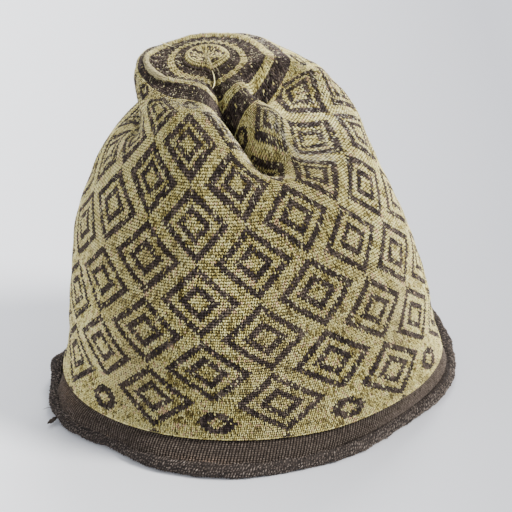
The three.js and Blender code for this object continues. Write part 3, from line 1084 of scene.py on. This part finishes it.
roll_corners, roll_places, roll_turns, roll_angles = roll_legs()
# Painted shade: on the same stretch the loops on the roll's inner top side, in the crease under the band,
# are darkened. The rest of the roll there is made a little lighter.
inner_top_shade = bell((roll_angles - 1.5 + np.pi) % (2 * np.pi) - np.pi, 0, 0.35)
roll_tones = random.normal(0.45, 0.2, len(roll_corners))
roll_tones += crease_share(roll_turns) * (0.12 - 0.7 * inner_top_shade)
roll_tones = np.clip(roll_tones, 0, 1)
rolled_edge_loops = mesh_of_legs("rolled_edge_loops", roll_corners, roll_tones, roll_places)
finish_piece(rolled_edge_loops, edge_yarn, "edge_knit")

# %% [markdown]
# ## Loose ends
#
# Old silk sheds. Short broken fibres stand up all over the knit, and a few yarn ends hang loose: a
# dark tuft at the left of the rolled edge, and pale threads at the top. A fibre is a leg like
# those of the stitches, only thinner. A yarn end is a grid bent into a thin tube.

# %% Short fibres on the crown
FIBRES = 5000
FIBRE_THICKNESS = 0.00012
FIBRE_TONE = 0.75
FIBRE_WEAR = 0.5

fibre_turns = random.random(FIBRES) * 360
fibre_rows = 1 + random.random(FIBRES) * 158
lean = random.normal(0, 1, (FIBRES, 2))
fibre_start = laid_place(fibre_turns, fibre_rows, 0.0001)
fibre_tip_row = np.clip(fibre_rows + 1.1 * lean[:, 1], 0, 166)
fibre_lift = 0.0004 + 0.0009 * random.random(FIBRES) ** 3
fibre_end = laid_place(fibre_turns + 0.9 * lean[:, 0], fibre_tip_row, fibre_lift)
fibre_outward = crown_outward(fibre_turns, fibre_rows)
fibre_corners = leg_corners(fibre_start, fibre_end, fibre_outward, FIBRE_THICKNESS, FIBRE_THICKNESS)
fibre_places = np.stack([fibre_turns / 360, fibre_rows / CROWN_ROWS], -1)
fibre_places = np.repeat(fibre_places[:, None], LEG_CORNERS, axis=1)
fibres = mesh_of_legs("crown_fibres", fibre_corners, FIBRE_TONE, fibre_places, FIBRE_WEAR)
finish_piece(fibres, pale_yarn, "crown_knit")


# %% Yarn ends
YARN_GRID = (8, 16)
SLANT = (0.3, 0.2, 0.9)


def yarn_end(name, start, bend, end, radius, tone, material, slot_name):
    start, bend, end = (np.array(corner, float) for corner in (start, bend, end))

    def place(turn, level):
        centre, ahead = curve_at(start, bend, end, level[:, None])
        ahead = unit(ahead)
        side = unit(np.cross(ahead, np.array(SLANT)))
        over = np.cross(ahead, side)
        ends = np.minimum(1, 5 * level) * np.minimum(1, 4 * (1 - level))
        taper = ends * (1 + 0.2 * np.sin(23 * level))
        swing = np.radians(turn)[:, None]
        return centre + (side * np.cos(swing) + over * np.sin(swing)) * (radius * taper)[:, None]

    piece = cloth_from_grid(name, *YARN_GRID, place)
    give_numbers(piece.data, 1, tone=tone, wear=0.0)
    edit_all(piece, bpy.ops.mesh.normals_make_consistent, inside=False)
    bpy.ops.object.shade_smooth()
    finish_piece(piece, material, slot_name)


def on_crown(turn, row, lift=0.0):
    return laid_place(np.array([float(turn)]), np.array([float(row)]), lift)[0]


def on_roll(turn, angle):
    return roll_place(np.array([float(turn)]), np.array([float(angle)]))[0]


tuft = on_roll(-73, -0.5)
hair = on_roll(-76, 0.2)
EDGE_ENDS = (
    # name, foot, way to the bend, way to the tip, radius, tone
    ("tuft_thick", tuft, (-0.002, -0.003, 0.0005), (-0.0045, -0.0055, -0.0005), 0.0008, 0.1),
    ("tuft_thin", tuft, (-0.0015, -0.0045, 0.0004), (-0.0030, -0.0068, 0.0002), 0.0005, 0.1),
    ("tuft_hair", hair, (-0.002, -0.001, 0.0012), (-0.0042, -0.002, 0.0002), 0.00013, 0.3),
)
CROWN_ENDS = (
    ("left_thread", on_crown(-131, 146), (-0.003, 0, 0.0012), (-0.0056, 0, 0.0028), 0.00022, 0.8),
    ("back_thread", on_crown(144, 143), (0.0004, 0, 0.001), (0.0002, 0, 0.0022), 0.00018, 0.8),
)
for yarn, slot_name, ends in ((edge_yarn, "edge_knit", EDGE_ENDS), (pale_yarn, "crown_knit", CROWN_ENDS)):
    for name, foot, to_bend, to_tip, radius, tone in ends:
        yarn_end(name, foot, foot + to_bend, foot + to_tip, radius, tone, yarn, slot_name)
yarn_end("rosette_thread", on_crown(24, 160, 0.0005), on_crown(10, 151, 0.004), on_crown(1, 142, 0.002),
         0.00022, 0.8, pale_yarn, "crown_knit")

# %% [markdown]
# ## The stage, the light and the camera
#
# The cap stands on a plain pale floor that fills the view. One wide soft light stands high on the
# right, a weaker one fills from the left, one behind the cap lights its outline, and a pale sky
# softens every shadow. Shade is painted on the floor, darker from left to right. The camera looks
# down at the cap from in front, a little tilted, through a long lens.

# %% Floor
# The floor's colour runs from pale on the left to grey on the right: painted shade across the floor.
FLOOR_LEFT = (0.955, 0.965, 1.0)
FLOOR_RIGHT = (0.425, 0.432, 0.465)
FLOOR_SLOPE = 3.2

bpy.ops.mesh.primitive_plane_add(size=12, location=(0, 2, -0.00002))
floor = bpy.context.object
floor.name = "pale_floor"
floor_material, floor_nodes, floor_links, floor_shader = start_material("pale paper", 0.9)
floor_place = floor_nodes.new("ShaderNodeTexCoord")
floor_split = floor_nodes.new("ShaderNodeSeparateXYZ")
floor_links.new(floor_place.outputs["Object"], floor_split.inputs["Vector"])
floor_share = add_node(floor_nodes, "ShaderNodeMath", operation="MULTIPLY_ADD")
floor_share.inputs[1].default_value = FLOOR_SLOPE
floor_share.inputs[2].default_value = 0.5
floor_links.new(floor_split.outputs[0], floor_share.inputs[0])
floor_shade_ramp = colour_ramp(floor_nodes, ((0.0, FLOOR_LEFT), (1.0, FLOOR_RIGHT)))
floor_links.new(floor_share.outputs[0], floor_shade_ramp.inputs["Fac"])
floor_links.new(floor_shade_ramp.outputs["Color"], floor_shader.inputs["Base Color"])
floor.data.materials.append(floor_material)
print("floor:", tuple(round(side, 2) for side in floor.dimensions))

# %% Lights
SKY_COLOUR = (0.91, 0.94, 1.0, 1)
SKY_STRENGTH = 0.90


def soft_light(name, place, target, size, power, colour):
    light = bpy.data.lights.new(name, "AREA")
    light.shape = "DISK"
    light.size = size
    light.energy = power
    light.color = colour
    lamp = bpy.data.objects.new(name, light)
    bpy.context.collection.objects.link(lamp)
    lamp.location = place
    lamp.rotation_euler = (Vector(target) - Vector(place)).to_track_quat("-Z", "Y").to_euler()
    print(name, "light of", power, "W")


world = bpy.data.worlds.new("pale room")
world.use_nodes = True
sky = world.node_tree.nodes["Background"]
sky.inputs["Color"].default_value = SKY_COLOUR
sky.inputs["Strength"].default_value = SKY_STRENGTH
bpy.context.scene.world = world
soft_light("window", (2.2, -1.0, 2.3), (0, 0, 0.08), 1.1, 200.0, (1.0, 0.985, 0.955))
soft_light("fill", (-1.2, -0.9, 1.0), (0, 0, 0.08), 1.0, 5.0, (0.97, 0.98, 1.0))
soft_light("back", (0.3, 1.2, 1.3), (0, 0, 0.1), 0.7, 26.0, (1.0, 1.0, 1.0))

# %% Camera
IMAGE_SIZE = 512
FOCAL_PIXELS = 2660
SENSOR = 36.0
CAMERA_DISTANCE = 1.2
CAMERA_ELEVATION = 0.4125
CAMERA_ROLL = math.radians(2.9)
AIM_PIXEL = (246.6, 235.0)
AIM_HEIGHT = 0.075

camera_data = bpy.data.cameras.new("camera")
camera_data.sensor_width = SENSOR
camera_data.lens = SENSOR * FOCAL_PIXELS / IMAGE_SIZE
camera_data.shift_x = (IMAGE_SIZE / 2 - AIM_PIXEL[0]) / IMAGE_SIZE
camera_data.shift_y = (AIM_PIXEL[1] - IMAGE_SIZE / 2) / IMAGE_SIZE
camera = bpy.data.objects.new("camera", camera_data)
bpy.context.collection.objects.link(camera)
aim = Vector((-MIDDLE[0], -MIDDLE[1], AIM_HEIGHT))
back = Vector((0, -math.cos(CAMERA_ELEVATION), math.sin(CAMERA_ELEVATION)))
turned = Matrix.Rotation(math.pi / 2 - CAMERA_ELEVATION, 4, "X") @ Matrix.Rotation(-CAMERA_ROLL, 4, "Z")
camera.matrix_world = Matrix.Translation(aim + back * CAMERA_DISTANCE) @ turned
bpy.context.scene.camera = camera
print("lens in mm:", round(camera_data.lens, 1))
